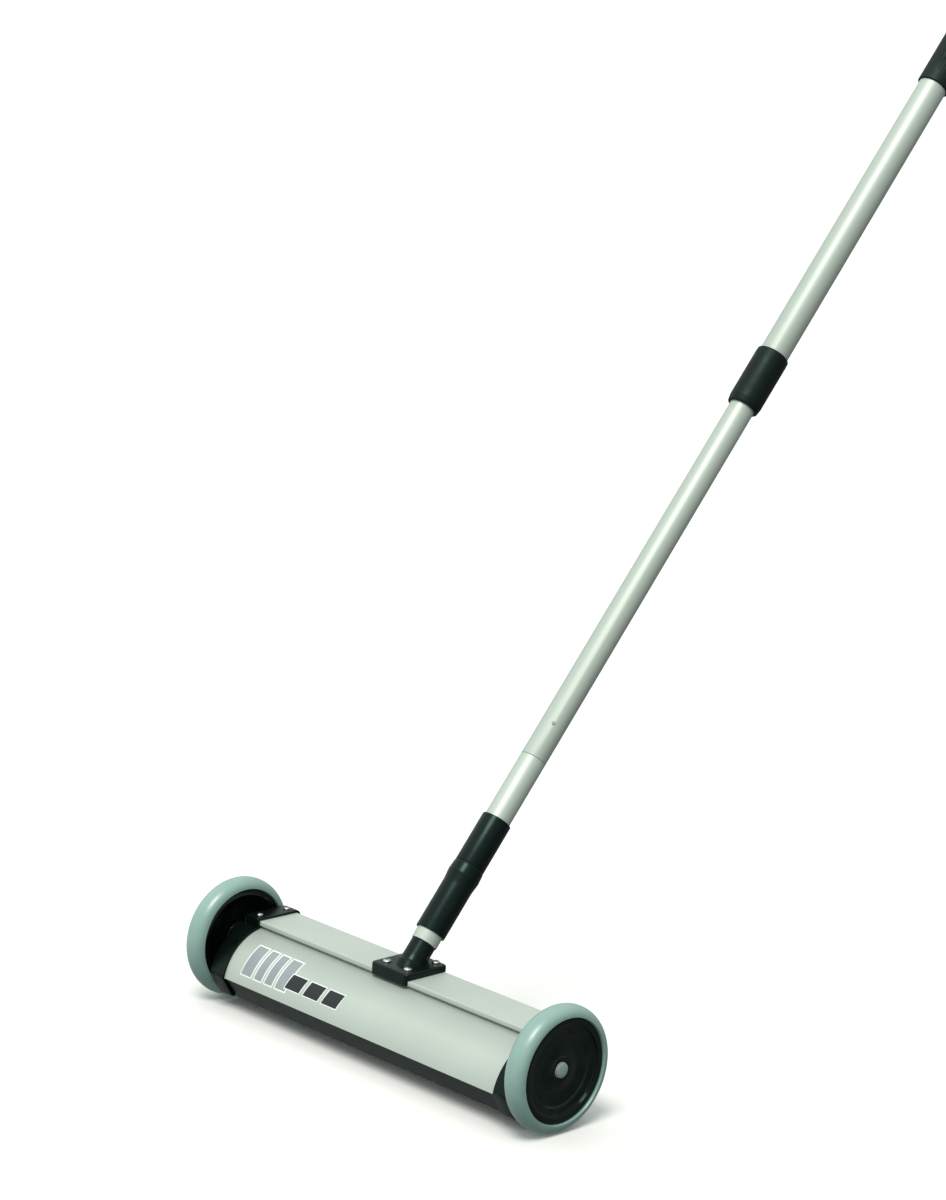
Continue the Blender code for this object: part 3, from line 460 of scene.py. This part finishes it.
# ---------------------------------------------------------------- wheels
def build_wheel(side):
    """A soft tyre with a round tread on a dished hub, and the bolt that it turns on."""
    matrix = WHEEL[side]
    body = f"wheel_{side}"
    _, half, radius = span(f"tyre_{side}", matrix)
    seat = 49.3 * MM
    rim = 52.8 * MM
    lip = 53.2 * MM
    root = 53.5 * MM
    side_z, bead_z, ease = 10.5 * MM, 8 * MM, 0.7 * MM
    steps = 32
    tread = []
    for k in range(steps + 1):
        a = math.pi / 2 - math.pi * k / steps
        bulge = (radius - root) * math.cos(a) ** 0.9 if k not in (0, steps) else 0
        tread.append((root + bulge, half * math.sin(a)))
    tyre = [(rim, side_z), (lip, half - ease), *tread, (lip, ease - half), (rim, -side_z)]
    tyre += [(rim, -bead_z), (seat, -bead_z), (seat, bead_z), (rim, bead_z)]
    lathe(f"tyre_{side}_look", tyre, matrix, "tyre_rubber", body, [f"tyre_{side}"], 192)
    outer = mm((8.3, 6.5), (12.5, 6.5), (14, 5.2), (24, 3.6), (36.4, 4.1))
    outer += mm((38.2, 5.9), (43.2, 6.6), (45.6, 7.4), (46.2, 10.2), (52.5, 10.2))
    middle = mm((52.5, 8.3), (49, 8.3), (49, -8.3), (52.5, -8.3))
    inner = mm((52.5, -10.2), (46, -10.2), (44, -4), (30, -1.5), (15, -2.5), (13, -12.2), (8.3, -12.2))
    hub = rounded(outer + middle + inner, 1.1 * MM, steps=4)
    lathe(f"hub_{side}_look", hub, matrix, "gloss_plastic", body, [f"wheel_hub_{side}"], 160)
    # The bolt is fixed to the chassis: a low domed head over a plain shank.
    head, shank = 7.5 * MM, 4 * MM
    under, end = 6.8 * MM, -30 * MM
    dome = [(head * math.sin(a), 7.6 * MM + 1.6 * MM * math.cos(a)) for a in quarter()]
    bolt = [*dome, (head, under), (shank, under), (shank, end), (0, end)]
    lathe(f"bolt_{side}_look", bolt, matrix, "zinc", "chassis", [f"axle_bolt_{side}"], 64)


# ---------------------------------------------------------------- housing
def arc_points(radius, start):
    """The bowed front's curve at a radius, from the angle start down to its lower edge."""
    steps = 40
    turns = [start + (ARC_END - start) * k / steps for k in range(steps + 1)]
    return [(ARC_Y + radius * math.cos(a), ARC_Z + radius * math.sin(a)) for a in turns]


def arc_start(radius, y):
    """The angle at which an arc of this radius is at y."""
    return math.acos((y - ARC_Y) / radius)


def build_shell():
    """One extruded sheet: back, roof, rail and bowed front, open underneath."""
    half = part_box("housing_shell")[1].x
    outer = [(BACK_Y, FOOT_Z), (BACK_Y, ROOF_Z), (0, ROOF_Z), (0, RAIL_Z), (GROOVE_Y, RAIL_Z)]
    radii = [0.3 * MM, 4 * MM, 1.2 * MM, 0.8 * MM, 0.5 * MM]
    front = arc_points(ARC_R, arc_start(ARC_R, GROOVE_Y))
    inner_r, inner_y = ARC_R - SHEET, GROOVE_Y + SHEET
    back = list(reversed(arc_points(inner_r, arc_start(inner_r, inner_y))))
    ceiling = ROOF_Z - ROOF_SHEET
    inner = [(inner_y, ceiling), (BACK_Y - SHEET, ceiling), (BACK_Y - SHEET, FOOT_Z)]
    radii += [0] * (len(front) + len(back) + len(inner))
    outline = rounded(outer + front + back + inner, radii)
    shell = section("housing_look", outline, -half, half, "paint", "chassis", ["housing_shell"])
    rod_hole = tool("round", POLE, -20 * MM, 20 * MM, 5 * MM)
    carve(shell, [rod_hole, *screw_holes({"cap_screw": 2.2 * MM, "bracket_screw": 2.2 * MM}, 20 * MM)])


def cap_outline(grow, soften):
    """The housing and cover's outline, grown outwards, with its front top corner softened."""
    radius = ARC_R + grow
    chin = grow * 0.6
    back, roof, floor = BACK_Y + grow, ROOF_Z + grow, COVER_Z - grow
    front = arc_points(radius, arc_start(radius, -grow))
    points = [(back, FOOT_Z), (back, roof), (-grow, roof), *front]
    points += [(COVER_FRONT - chin, floor), (COVER_BACK + chin, floor)]
    radii = [1 * MM, 4 * MM + grow, soften, *[0] * len(front), 3 * MM, 3 * MM]
    return rounded(points, radii)


def build_cap(side, sign):
    """A lid over the shell's end, open underneath, with a shelf inside for the cover's screws."""
    low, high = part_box(f"end_cap_{side}")
    outline = cap_outline(2.8 * MM, 1.2 * MM)
    cap = section(f"cap_{side}_look", outline, low.x, high.x, CAPS, "chassis", [f"end_cap_{side}"], 0.9 * MM)
    wall = sign * 5 * MM
    inside = section("hollow", cap_outline(GAP, 0.4 * MM), low.x - wall, high.x - wall, CAPS, "chassis")
    # Everything under the cover's face goes, so that the cap is open underneath.
    below = tool("box", chassis_at, (-0.3, -0.1, -0.08), (0.3, 0.1, COVER_Z))
    carve(cap, [inside, below])
    near, far = sorted((sign * 202 * MM, sign * 216 * MM))
    shelf = tool("box", chassis_at, (near, -26 * MM, -48.2 * MM), (far, 28 * MM, -41.2 * MM))
    carve(cap, [shelf], "UNION")
    bolt_hole = tool("round", WHEEL[side], -40 * MM, -10 * MM, 4.3 * MM)
    holes = {f"cap_screw_{side}": 2.1 * MM, f"cover_screw_{side}": 1.9 * MM}
    carve(cap, [bolt_hole, *screw_holes(holes, 8 * MM)])


def slab(low, high, corner, edge):
    """A block with rounded upright corners and a rounded top edge, used as a Boolean tool."""
    shape = bmesh.new()
    rings = []
    levels = [(0, low[2])]
    levels += [(edge * (1 - math.cos(a)), high[2] - edge * (1 - math.sin(a))) for a in quarter(6)]
    left, right = low[0] + corner, high[0] - corner
    front, back = low[1] + corner, high[1] - corner
    centres = ((right, back), (left, back), (left, front), (right, front))
    for inset, z in levels:
        reach = corner - inset
        ring = []
        for index, (x, y) in enumerate(centres):
            for a in quarter():
                turn = index * math.pi / 2 + a
                ring.append(shape.verts.new((x + reach * math.cos(turn), y + reach * math.sin(turn), z)))
        rings.append(ring)
    for ring, after in zip(rings, rings[1:]):
        for k in range(len(ring)):
            m = (k + 1) % len(ring)
            shape.faces.new((ring[k], ring[m], after[m], after[k]))
    shape.faces.new(list(reversed(rings[0])))
    shape.faces.new(rings[-1])
    return cutter(shape, chassis_at)


def build_bracket():
    """A plate on the roof with a lip over the rail, and a leaning post with a spigot inside the base tube."""
    low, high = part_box("handle_bracket")
    half = high.x
    front, back = low.y, 54.4 * MM
    bottom, top = ROOF_Z + GAP, 32.5 * MM
    # The plate's section is oversize, and a rounded slab trims it.
    spare = 3 * MM
    points = [(back + spare, bottom), (back + spare, top + spare), (front - spare, top + spare)]
    points += [(front - spare, RAIL_Z), (-GAP, RAIL_Z), (-GAP, bottom)]
    reach = half + spare
    plate = section("bracket_look", points, -reach, reach, "black_plastic", "chassis", ["handle_bracket"])
    trim = slab((-half, front, 15 * MM), (half, back, top), corner=5.5 * MM, edge=2.4 * MM)
    carve(plate, [trim], "INTERSECT")
    post = mm((0, 62), (11.6, 62), (12.1, 61.5), (12.1, 31), (12.6, 31), (13, 30.6))
    post += [((13 + 1.8 * (1 - math.sin(a))) * MM, (16 - 10 * math.cos(a)) * MM) for a in reversed(quarter())]
    post += mm((14.8, -22), (0, -22))
    column = lathe("post", post, POLE, "black_plastic", "chassis", (), 96)
    # The column starts just inside the plate; what hangs below goes.
    carve(column, [tool("box", chassis_at, (-0.1, -0.1, -0.1), (0.1, 0.2, bottom + 0.5 * MM))])
    carve(plate, [column], "UNION")
    rod_hole = tool("round", POLE, -80 * MM, 80 * MM, 4.2 * MM)
    carve(plate, [rod_hole, *screw_holes({"bracket_screw": 2.2 * MM}, 30 * MM), set_screw_hole()])


def build_screws():
    """Pan heads on the roof and flush countersunk heads under the cover, all with a cross recess."""
    for node in list(nodes):
        if not node.startswith(("cap_screw", "bracket_screw", "cover_screw")):
            continue
        low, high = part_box(node)
        radius = (high.x - low.x) / 2
        x, y = (low.x + high.x) / 2, (low.y + high.y) / 2
        if node.startswith("cover"):
            head, shank = 0, 1.6 * MM
            length = high.z - low.z
            matrix = axis_matrix(Vector((x, y, low.z)), (0, 0, -1))
            profile = [(0, 0), (radius - 0.15 * MM, 0), (radius, -0.15 * MM), (shank, -1.2 * MM)]
            depth = 0.9 * MM
        else:
            head, shank = (2.4 if node.startswith("bracket") else 2) * MM, 1.9 * MM
            length = high.z - low.z - head
            matrix = axis_matrix(Vector((x, y, high.z - head)), (0, 0, 1))
            profile = [(radius * math.sin(a), head * (0.3 + 0.7 * math.cos(a))) for a in quarter()]
            profile += [(radius, 0), (shank, 0)]
            depth = 1.1 * MM
        profile += [(shank, -length), (0, -length)]
        screw = lathe(f"{node}_look", profile, matrix, "screw_steel", "chassis", [node], 40)
        # Each cross has stopped at its own angle, which follows from where the screw is.
        turn = Matrix.Rotation(math.radians((x * 7919 + y * 3571) * 40 % 90), 4, "Z")
        recess = []
        arm, slit = radius * 0.62, radius * 0.13
        floor, above = Vector((0, 0, head - depth)), Vector((0, 0, 10 * MM))
        for corner in (Vector((arm, slit, 0)), Vector((slit, arm, 0))):
            recess.append(tool("box", matrix @ turn, floor - corner, corner + above))
        carve(screw, recess)


# ---------------------------------------------------------------- pole
def tube(name, node, body):
    """An aluminium tube with eased ends."""
    low, high, radius = span(node, POLE)
    bore = radius - TUBE_WALL
    profile = rounded([(bore, high), (radius, high), (radius, low), (bore, low)], 0.5 * MM, steps=3)
    return lathe(name, profile, POLE, "aluminium", body, [node])


def turned_at(name, node, corners, radii, slot, body):
    """A part turned about the pole, from the corners of its profile and their radii."""
    return lathe(name, rounded(corners, radii), POLE, slot, body, [node])


def build_tubes():
    """The base tube has a slot for the cross pin; the mid tube has a hole for the rivet."""
    base = tube("base_tube_look", "base_tube", "chassis")
    pin_slot = tool("box", POLE, (-20 * MM, -2.3 * MM, 73.7 * MM), (20 * MM, 2.3 * MM, 112.3 * MM))
    carve(base, [pin_slot, set_screw_hole()])
    mid = tube("mid_tube_look", "mid_tube", "chassis")
    carve(mid, [tool("round", RIVET, 2 * MM, 20 * MM, 1.4 * MM)])
    tube("upper_tube_look", "upper_tube", "extension")
    low, high, radius = span("coupling_rivet", RIVET)
    shank, brim = 1.1 * MM, high - 0.8 * MM
    rivet = [(0, high), (radius, high), (radius, brim), (shank, brim), (shank, low), (0, low)]
    soft = rounded(rivet, [0, 0.7 * MM, 0, 0, 0, 0])
    lathe("coupling_rivet_look", soft, RIVET, "zinc", "chassis", ["coupling_rivet"], 40)


def build_sleeves():
    """The release sleeve swells below its joint, and its top part plugs into it."""
    bore = 14.25 * MM
    low, high, big = span("release_sleeve", POLE)
    r = 16.1 * MM
    socket, socket_floor = r - 0.5 * MM, high - 16.5 * MM
    corners = [(socket, high), (r - 0.1 * MM, high), (r + 0.5 * MM, high - 2.5 * MM), (big, high - 12 * MM)]
    corners += [(r, high - 23 * MM), (r, low), (bore, low), (bore, socket_floor), (socket, socket_floor)]
    radii = [0.2 * MM, 0.6 * MM, 4 * MM, 14 * MM, 40 * MM, 1 * MM, 0.4 * MM, 0, 0]
    sleeve = turned_at("release_sleeve_look", "release_sleeve", corners, radii, "black_plastic", "release")
    pin_low, pin_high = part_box("cross_pin")
    pin = axis_matrix((pin_low + pin_high) / 2, (1, 0, 0), Vector((0, 0, 1)))
    carve(sleeve, [tool("round", pin, pin_low.x - GAP, pin_high.x + GAP, 2.3 * MM)])
    plug_low, top, outer = span("sleeve_top", POLE)
    joint, plug = high + GAP, socket - GAP
    corners = [(bore, top), (outer, top), (outer, joint), (plug, joint), (plug, plug_low), (bore, plug_low)]
    radii = [0.6 * MM, 1.8 * MM, 0.8 * MM, 0, 0.2 * MM, 0.2 * MM]
    turned_at("sleeve_top_look", "sleeve_top", corners, radii, "black_plastic", "release")


def build_spring():
    """The return spring, which shortens as the release lifts, copied from the CAD frame into a mesh of its own."""
    shape = bmesh.new()
    shape.from_mesh(nodes["return_spring"].data)
    slot = slot_of["return_spring"]
    spring = finish_mesh("return_spring_look", shape, Matrix(), slot, "chassis", ["return_spring"])
    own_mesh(spring)


def build_collar():
    """A thin sleeve that narrows at its foot; inside, it is relieved around the ferrule."""
    low, high, r = span("lock_collar", POLE)
    ferrule_low, ferrule_top, _ = span("lock_ferrule", POLE)
    step = span("upper_tube", POLE)[0] - GAP
    wall = r - 1.25 * MM
    neck, mouth = 14.3 * MM, 16.3 * MM
    floor, ceiling = ferrule_low - 0.6 * MM, ferrule_top + 0.6 * MM
    corners = [(mouth, high), (r - 0.2 * MM, high), (r, high - 6 * MM), (r, low + 8 * MM)]
    corners += [(r - 1.2 * MM, low), (neck, low), (neck, floor), (16 * MM, floor)]
    corners += [(wall, step - 6 * MM), (wall, ceiling), (mouth, ceiling)]
    radii = [0.4 * MM, 2.2 * MM, 8 * MM, 10 * MM, 2.6 * MM, 0.5 * MM, 0, 0, 0, 0, 0]
    turned_at("lock_collar_look", "lock_collar", corners, radii, COLLAR, "lock_collar")


def build_grip():
    """A rubber tube with shallow lengthwise grooves above a plain lower end, and its plug."""
    low, high, r = span("grip", POLE)
    bore = 16.2 * MM
    steps = 60
    rings = [(bore, high), (r - 0.6 * MM, high), (r, high - 2 * MM)]
    rings += [(r, high - 3 * MM - (high - low - 30 * MM) * k / steps) for k in range(steps + 1)]
    rings += [(r, low + 10 * MM), (r, low + 1 * MM), (r - 1 * MM, low), (bore, low)]
    start, end = low + 24 * MM, high - 4 * MM
    grooves, depth, run_out = 24, 0.5 * MM, 3 * MM

    def ribs(radius, z, angle):
        if radius < r - 0.1 * MM or z < start or z > end:
            return radius
        fade = min(1, (z - start) / run_out, (end - z) / run_out)
        groove = max(0.0, math.cos(angle * grooves)) ** 6
        return radius - depth * groove * fade

    lathe("grip_look", rings, POLE, "grip_rubber", "extension", ["grip"], 384, ribs)
    plug_low, top, big = span("grip_plug", POLE)
    inner, joint = 14.1 * MM, high + GAP
    corners = [(0, top), (big, top), (big, joint), (inner, joint), (inner, plug_low), (0, plug_low)]
    radii = [0, 5 * MM, 0.4 * MM, 0.3 * MM, 0.5 * MM, 0]
    turned_at("grip_plug_look", "grip_plug", corners, radii, "black_plastic", "extension")


# ---------------------------------------------------------------- decal
def panel_point(x, s, lift):
    """A point of the front panel: s is the arc length down from the groove."""
    a = arc_start(ARC_R, GROOVE_Y) + s / ARC_R
    r = ARC_R + lift
    return Vector((x, ARC_Y + r * math.cos(a), ARC_Z + r * math.sin(a)))


def decal_patch(name, corners, lift, material):
    """A thin printed patch, a slanted four-sided shape laid on the bowed panel."""
    shape = bmesh.new()
    top_left, top_right, low_right, low_left = [Vector(corner) for corner in corners]
    rows, columns = 10, 4
    grid = []
    for i in range(rows + 1):
        left = top_left.lerp(low_left, i / rows)
        right = top_right.lerp(low_right, i / rows)
        across = [left.lerp(right, j / columns) for j in range(columns + 1)]
        grid.append([shape.verts.new(panel_point(x, s, lift)) for x, s in across])
    for i in range(rows):
        for j in range(columns):
            shape.faces.new((grid[i][j], grid[i][j + 1], grid[i + 1][j + 1], grid[i + 1][j]))
    finish_mesh(name, shape, chassis_at, material, "chassis", ())


def decal_mark(names, low_x, width, reach, slant, rim, lift, materials):
    """A slanted bar over a wider rim; reach is its top and bottom, as arc lengths from the groove."""
    high_x = low_x + width
    top, bottom = reach
    outer = [(low_x + slant - rim, top - rim), (high_x + slant + rim, top - rim)]
    outer += [(high_x + rim, bottom + rim), (low_x - rim, bottom + rim)]
    inner = [(low_x + slant, top), (high_x + slant, top), (high_x, bottom), (low_x, bottom)]
    decal_patch(names[0], outer, lift, materials[0])
    decal_patch(names[1], inner, lift + 0.04 * MM, materials[1])


def build_decal():
    """Four pale bars and three dark dashes, printed on the left half of the front."""
    white = plain("print_white", (0.86, 0.9, 0.88), 0.3, 0.45)
    grey = plain("print_grey", (0.3, 0.345, 0.37), 0.3, 0.45)
    ink = plain("print_ink", (0.008, 0.012, 0.02), 0.3, 0.45)
    left = -178 * MM
    bars, slant, rim, lift = (25 * MM, 60 * MM), 3 * MM, 1.5 * MM, 0.04 * MM
    for index, (offset, width) in enumerate(mm((0, 15), (20.3, 11), (36.6, 11), (52.9, 15))):
        names = (f"decal_rim_{index}", f"decal_bar_{index}")
        decal_mark(names, left + offset, width, bars, slant, rim, lift, (white, grey))
    dashes, slant, rim, lift = (40 * MM, 56 * MM), 4 * MM, 1.1 * MM, 0.1 * MM
    for index, (offset, width) in enumerate(mm((66, 22), (94, 22), (122, 22))):
        names = (f"decal_dash_rim_{index}", f"decal_dash_{index}")
        decal_mark(names, left + offset, width, dashes, slant, rim, lift, (white, ink))


for wheel_side in WHEEL:
    build_wheel(wheel_side)
build_shell()
build_cap("left", -1)
build_cap("right", 1)
build_bracket()
build_screws()
build_tubes()
build_sleeves()
build_spring()
build_collar()
build_grip()
build_decal()


# ---------------------------------------------------------------- stage
def build_stage():
    """A plain white floor under a pale, graded sky."""
    half_width = 400
    mesh = bpy.data.meshes.new("floor")
    shape = bmesh.new()
    bmesh.ops.create_grid(shape, x_segments=1, y_segments=1, size=half_width)
    shape.to_mesh(mesh)
    shape.free()
    floor = bpy.data.objects.new("floor", mesh)
    bpy.context.scene.collection.objects.link(floor)
    s = Shader("floor_white", (0.88, 0.88, 0.88), 0.7)
    s.tint(s.noise(3, detail=5), (0.87, 0.87, 0.87), (0.9, 0.9, 0.9))
    mesh.materials.append(s.mat)
    floor.visible_diffuse = False
    floor.visible_glossy = False
    # The sky is brightest overhead, towards the front left, and darker on the right.
    world = bpy.data.worlds.new("studio")
    world.use_nodes = True
    tree = world.node_tree
    background = tree.nodes["Background"]
    background.inputs["Color"].default_value = (0.93, 1.0, 0.955, 1)
    coords = tree.nodes.new("ShaderNodeTexCoord")
    toward = tree.nodes.new("ShaderNodeVectorMath")
    toward.operation = "DOT_PRODUCT"
    toward.inputs[1].default_value = Vector((-0.35, -0.4, 0.85)).normalized()
    spread = tree.nodes.new("ShaderNodeMapRange")
    darkest, brightest = 0.2, 1.05
    for key, value in (("From Min", -0.6), ("From Max", 0.95), ("To Min", darkest), ("To Max", brightest)):
        spread.inputs[key].default_value = value
    tree.links.new(coords.outputs["Generated"], toward.inputs[0])
    tree.links.new(toward.outputs["Value"], spread.inputs["Value"])
    tree.links.new(spread.outputs["Result"], background.inputs["Strength"])
    scene = bpy.context.scene
    scene.world = world
    scene.view_settings.view_transform = "Standard"


def add_sun(toward, strength, angle, color):
    """A soft sun; toward points at it, and angle is its width in degrees."""
    data = bpy.data.lights.new("sun", "SUN")
    data.energy = strength
    data.angle = math.radians(angle)
    data.color = color
    light = bpy.data.objects.new("sun", data)
    light.rotation_euler = Vector(toward).to_track_quat("Z", "Y").to_euler()
    bpy.context.scene.collection.objects.link(light)


def build_camera():
    """A long lens from the front right, above the wheels, rolled a little."""
    data = bpy.data.cameras.new("camera")
    data.lens = 97.0
    data.sensor_width = 36.0
    camera = bpy.data.objects.new("camera", data)
    right = Vector((0.6933, 0.7178, 0.0593)).normalized()
    back = Vector((0.6934, -0.6876, 0.2156)).normalized()
    up = back.cross(right).normalized()
    right = up.cross(back).normalized()
    turn = Matrix((right, up, back)).transposed().to_4x4()
    place = Vector((2.222, -2.119, 1.1536))
    camera.matrix_world = Matrix.Translation(place) @ turn
    bpy.context.scene.collection.objects.link(camera)
    bpy.context.scene.camera = camera


build_stage()
add_sun(toward=(0.2, -0.42, 0.89), strength=2.0, angle=24, color=(1, 0.945, 0.9))
build_camera()
